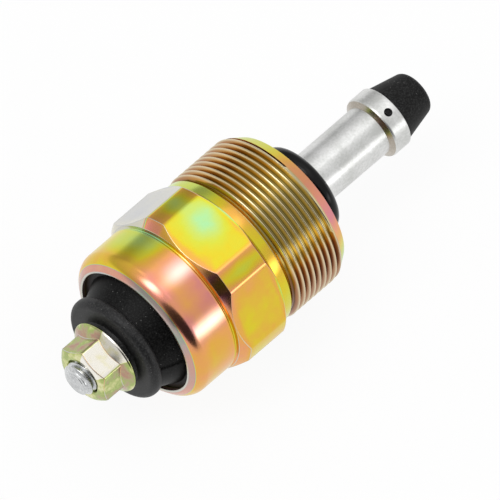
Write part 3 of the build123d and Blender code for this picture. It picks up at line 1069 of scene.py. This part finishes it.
# %% Turn and thread the stud
STUD_PITCH = 0.8
STUD_ROOT = 2.06
STUD_STEPS = 120
STUD_DOME = 1.5
STUD_THREAD_TURNS = 12
STUD_HEAD_RADIUS = 3.8
head_rear = stud_front - 1.2
stud_rear_ring = (stud_end + 0.18, STUD_ROOT - 0.04)
stud_front_ring = (stud_rear_ring[0] + STUD_THREAD_TURNS * STUD_PITCH, STUD_ROOT - 0.04)
stud_bm = turn_profile(
    [
        (stud_end, 0, 0),
        (stud_end + 0.02, 0.7, 0),
        (stud_end + 0.06, STUD_DOME, 0.06),
        (stud_end + 0.16, STUD_DOME + 0.08, 0.03),
        (*stud_rear_ring, 0),
        (*stud_front_ring, 0),
        (stud_front_ring[0] + 0.4, STUD_RADIUS, 0),
        (head_rear, STUD_RADIUS, 0),
        (head_rear, STUD_HEAD_RADIUS, 0),
        (stud_front, STUD_HEAD_RADIUS, 0),
        (stud_front, 0, 0),
    ],
    STUD_STEPS,
    closed=False,
)


def stud_envelope(x):
    """Give the largest radius of the stud's thread at x."""
    from_rear = x - stud_rear_ring[0]
    to_front = stud_front_ring[0] - x
    return stud_rear_ring[1] + min(from_rear, to_front) * 1.2


cut_thread(
    stud_bm,
    stud_rear_ring,
    stud_front_ring,
    STUD_PITCH,
    STUD_RADIUS,
    STUD_ROOT,
    stud_envelope,
    STUD_STEPS,
)
# Bright zinc: cool, pale and even, with a sharper shine than ground steel
bright_zinc = worked_metal("bright_zinc_on_steel", "#b6b8b9", "#e2e3e3", 0.24, 0.15, 0.005)
finish_piece("terminal_stud", stud_bm, [bright_zinc], "solenoid_body")

# %% [markdown]
# ## The terminal nut
# A flange nut, 8 mm across its flats, clamps the supply wire's eyelet. It is
# turned like the housing and its flats are slid down in the same way: the rear
# ring runs down the chamfer, and the front ring down the dished flange.

# %% Turn the nut
NUT_FLATS = 8.0
NUT_CORNER = 4.58
NUT_TURN = 15.0
NUT_STEPS = 120
FLANGE_RADIUS = 5.63
FLANGE_HEIGHT = 1.32
FLANGE_RIM = 0.45
DISH_RADIUS = 4.1
NUT_CHAMFER_LENGTH = 0.55
NUT_END_RADIUS = NUT_FLATS / 2 - 0.35
nut_hex_front = nut_seat - FLANGE_HEIGHT
flange_slope = (FLANGE_HEIGHT - FLANGE_RIM) / (FLANGE_RADIUS - 0.1 - DISH_RADIUS)
nut_rear_ring = (nut_end + NUT_CHAMFER_LENGTH, NUT_CORNER)
nut_front_ring = (nut_hex_front + (NUT_CORNER - DISH_RADIUS) * flange_slope, NUT_CORNER)
nut_bm = turn_profile(
    [
        (nut_end, STUD_RADIUS + 0.35, 0.05),
        (nut_end, NUT_END_RADIUS, 0),
        (*nut_rear_ring, 0),
        (*nut_front_ring, 0),
        (nut_seat - FLANGE_RIM, FLANGE_RADIUS - 0.1, 0.05),
        (nut_seat - 0.2, FLANGE_RADIUS, 0.08),
        (nut_seat, FLANGE_RADIUS - 0.15, 0.05),
        (nut_seat, STUD_RADIUS + 0.02, 0),
        (nut_end + 0.4, STUD_RADIUS + 0.02, 0),
    ],
    NUT_STEPS,
)
mill_flats(
    nut_bm,
    NUT_FLATS / 2,
    [
        (nut_rear_ring, (nut_end, NUT_END_RADIUS)),
        (nut_front_ring, (nut_hex_front - 0.1 * flange_slope, NUT_FLATS / 2)),
    ],
    NUT_STEPS,
    math.radians(NUT_TURN),
)


def on_nut(vert):
    """Tell whether a vertex is on the nut's hexagon."""
    return nut_end + 0.01 < vert.co.x / MM < nut_seat - 0.5 and radius_of(vert) > 3.9


ease_edges(nut_bm, on_nut, EDGE_ROUND)
# The nut's film is pale and blotchy: one flat is cream, partly its film and partly a painted
# highlight, and the others are olive
nut_zinc = yellow_zinc(
    "yellow_zinc_nut",
    [(-180, 0.55), (-60, 0.66), (-14, 0.66), (-12, 0.20), (42, 0.20), (44, 0.64), (110, 0.60),
     (180, 0.55)],
    along_axis=[(-33.0, -0.10), (-32.4, 0.0), (-30.2, 0.0), (-29.2, 0.12), (-28.4, -0.15)],
    film_colours=PALE_FILM_COLOURS,
    patchiness=0.35,
    patch_mm=(1.9, 0.6),
    roughness=0.22,
)
finish_piece("terminal_nut", nut_bm, [nut_zinc, edge_zinc], "solenoid_body")

# %% [markdown]
# ## The pieces inside
# The rest stays hidden, apart from the sleeve's end, and keeps the packed
# model's shape. Each still gets the finish of its real material, because the
# part may be opened or cut in another scene.

# %% Finishes of the inner pieces
inner_finishes = {
    # Drawn brass: warm yellow, with the marks of the drawing die
    "brass": worked_metal("brass_drawn", "#c79a4b", "#d8ae62", 0.28, 0.3, 0.003),
    # Turned and annealed iron: grey, dull, a little brown
    "soft_iron": worked_metal("soft_iron_turned", "#8d8a86", "#9c9893", 0.42, 0.18, 0.006),
    # Enamelled wire: copper seen through a brown lacquer, one turn every 0.3 mm
    "copper_wire": worked_metal("copper_wire_enamelled", "#9a4a22", "#b45f30", 0.30, 0.3, 0.05),
    # Spring wire: dark, hard-drawn and bright on its high side
    "spring_steel": worked_metal("spring_steel_drawn", "#77787a", "#8f9092", 0.30, 0.2, 0.003),
    # Glass-filled nylon: off-white and slightly waxy
    "nylon": moulded("nylon_glass_filled", "#cfc8b4", 0.42, 0.3, 0.008, specks=0.15),
    # Polyester tape over the winding: thin, glossy and amber
    "polyester_tape": moulded("polyester_tape_amber", "#b7892c", 0.22, 0.5, 0.004),
    # Vulcanised fibre: pressed paper, grey and matt
    "vulcanised_fibre": moulded(
        "vulcanised_fibre_pressed", "#6f6a62", 0.65, 0.12, 0.010, specks=0.2
    ),
    # Seals inside: the same oiled nitrile as the front ring
    "nitrile_rubber": nitrile,
}
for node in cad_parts.values():
    if not node.hide_render:
        for slot in node.material_slots:
            slot.material = inner_finishes[slot.material.name]
            print(node.name, "gets", slot.material.name)

# %% [markdown]
# ## The camera
# The photograph looks down on the solenoid from behind its terminal, about 61
# degrees up. Its frame is 66.7 mm wide at the object. The lines of the
# photograph are parallel, as through a long lens far away, so the camera is an
# orthographic one, and it is rolled so that the axis runs up to the right.

# %% Place the camera
bpy.context.scene.view_settings.view_transform = "Standard"
TOWARDS_CAMERA = Vector((-0.400, -0.268, 0.8764)).normalized()
AXIS_IN_PICTURE = math.radians(40.64)
DISTANCE = 0.3
FRAME_WIDTH = 66.67
# A point near the object's middle, and how far the picture's middle lies from it
MIDDLE = Vector((-2.5, 0, 0))
SHIFT_RIGHT, SHIFT_UP = 1.166, -1.270
along = Vector(AXIS) - TOWARDS_CAMERA.x * TOWARDS_CAMERA
along.normalize()
aside = along.cross(TOWARDS_CAMERA)
right = math.cos(AXIS_IN_PICTURE) * along + math.sin(AXIS_IN_PICTURE) * aside
up = math.sin(AXIS_IN_PICTURE) * along - math.cos(AXIS_IN_PICTURE) * aside
centre = (MIDDLE + SHIFT_RIGHT * right + SHIFT_UP * up) * MM
camera_data = bpy.data.cameras.new("camera")
camera_data.type = "ORTHO"
camera_data.ortho_scale = FRAME_WIDTH * MM
camera_data.clip_start = 0.01
camera = bpy.data.objects.new("camera", camera_data)
bpy.context.scene.collection.objects.link(camera)
turned = Matrix((right, up, TOWARDS_CAMERA)).transposed()
camera.matrix_world = Matrix.Translation(centre + DISTANCE * TOWARDS_CAMERA) @ turned.to_4x4()
bpy.context.scene.camera = camera
print("frame:", FRAME_WIDTH, "mm wide")

# %% [markdown]
# ## The studio
# The object lies on a plain pale floor under soft light. Metal shows what is
# round it, so the walls carry three soft windows, which draw the highlights on
# the skirt and the thread, and two cards, one grey and one dark, which give the
# metal its brown and black accents.

# %% The floor
FLOOR_HALF_WIDTH = 1.5
FLOOR_GAP = 0.0002
# The camera and the metal see the floor mostly by its glow, so it looks even
GLOW_SHARE = 0.93
floor_bm = bmesh.new()
bmesh.ops.create_grid(floor_bm, x_segments=1, y_segments=1, size=FLOOR_HALF_WIDTH)
floor_mesh = bpy.data.meshes.new("floor")
floor_bm.to_mesh(floor_mesh)
floor_bm.free()
floor = bpy.data.objects.new("floor", floor_mesh)
floor.location.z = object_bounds()[0].z - FLOOR_GAP
bpy.context.scene.collection.objects.link(floor)
floor_paint = bpy.data.materials.new("floor_white")
floor_paint.use_nodes = True
tree = floor_paint.node_tree
tree.nodes.remove(tree.nodes["Principled BSDF"])
paint = add_node(tree, "BsdfDiffuse", {"Color": linear("#f2f2f2")})
glow = add_node(tree, "Emission", {"Color": (1, 1, 1, 1), "Strength": 1.0})
path = add_node(tree, "LightPath")
seen = add_node(
    tree,
    "Math",
    {0: path.outputs["Is Camera Ray"], 1: path.outputs["Is Glossy Ray"]},
    operation="MAXIMUM",
)
share = add_node(tree, "Math", {0: seen, 1: GLOW_SHARE}, operation="MULTIPLY")
mixed = add_node(tree, "MixShader", {0: share, 1: paint, 2: glow})
set_inputs(tree, tree.nodes["Material Output"], {"Surface": mixed})
floor_mesh.materials.append(floor_paint)
print("floor at", round(floor.location.z / MM, 2), "mm")

# %% A soft area of light or dark
def add_area(tree, light, direction, towards, long_way, half_sizes, level, softness):
    """Let a direction see an oval area of another level. Half sizes are sines."""
    middle = Vector(towards).normalized()
    wide = (Vector(long_way) - Vector(long_way).dot(middle) * middle).normalized()
    high = middle.cross(wide)
    along_wide, along_high, ahead = [
        add_node(tree, "VectorMath", {0: direction, 1: tuple(way)}, operation="DOT_PRODUCT")
        for way in (wide / half_sizes[0], high / half_sizes[1], middle)
    ]
    offset = add_node(tree, "CombineXYZ", {"X": along_wide, "Y": along_high})
    away = add_node(tree, "VectorMath", {0: offset}, operation="LENGTH")
    inside = add_node(
        tree,
        "MapRange",
        {"Value": away, "From Min": 1.0, "From Max": 1.0 - softness},
        interpolation_type="SMOOTHSTEP",
    )
    front = add_node(tree, "Math", {0: ahead, 1: 0.0}, operation="GREATER_THAN")
    share = add_node(tree, "Math", {0: inside, 1: front}, operation="MULTIPLY")
    inputs = {"Factor": share, "A": light, "B": (level, level, level, 1)}
    return add_node(tree, "Mix", inputs, data_type="RGBA")


# %% The light all round
world = bpy.data.worlds.new("studio")
bpy.context.scene.world = world
world.use_nodes = True
tree = world.node_tree
direction = add_node(tree, "TexCoord").outputs["Generated"]
height = add_node(tree, "SeparateXYZ", {"Vector": direction}).outputs["Z"]
light = add_node(
    tree,
    "ValToRGB",
    {"Fac": height},
    [(0.0, 0.68), (0.12, 0.58), (0.40, 0.70), (0.75, 0.86), (1.0, 0.90)],
)
areas = [
    # The grey card, low on the far side in front
    ((0.40, 0.89, 0.20), AXIS, (0.60, 0.36), 0.42, 0.9),
    # The dark card, behind the terminal on the near side
    ((-0.66, -0.66, 0.36), AXIS, (0.63, 0.63), 0.04, 0.08),
    # The main window, high above the terminal
    ((-0.44, 0.24, 0.86), (1, -0.28, 0), (0.52, 0.30), 5.0, 0.8),
    # A dim window, high above the nose
    ((0.40, 0.07, 0.91), AXIS, (0.40, 0.18), 1.5, 0.9),
    # A low window on the near side in front
    ((0.40, -0.88, 0.25), AXIS, (0.45, 0.24), 3.4, 0.95),
]
for area in areas:
    light = add_area(tree, light, direction, *area)
path = add_node(tree, "LightPath")
inputs = {"Factor": path.outputs["Is Camera Ray"], "A": light, "B": (1, 1, 1, 1)}
seen = add_node(tree, "Mix", inputs, data_type="RGBA")
set_inputs(tree, tree.nodes["Background"], {"Color": seen, "Strength": 1.0})
print("world: even walls, a grey card, a dark card and three soft windows")

# %% The key lamp
key_data = bpy.data.lights.new("key", "AREA")
key_data.shape = "SQUARE"
key_data.size = 0.9
key_data.energy = 0.9
key = bpy.data.objects.new("key", key_data)
key.location = (0.15, 0.25, 1.0)
key.rotation_euler = (Vector((0, 0, 0)) - key.location).to_track_quat("-Z", "Y").to_euler()
bpy.context.scene.collection.objects.link(key)
print("key lamp:", key_data.energy, "W over", key_data.size, "m")
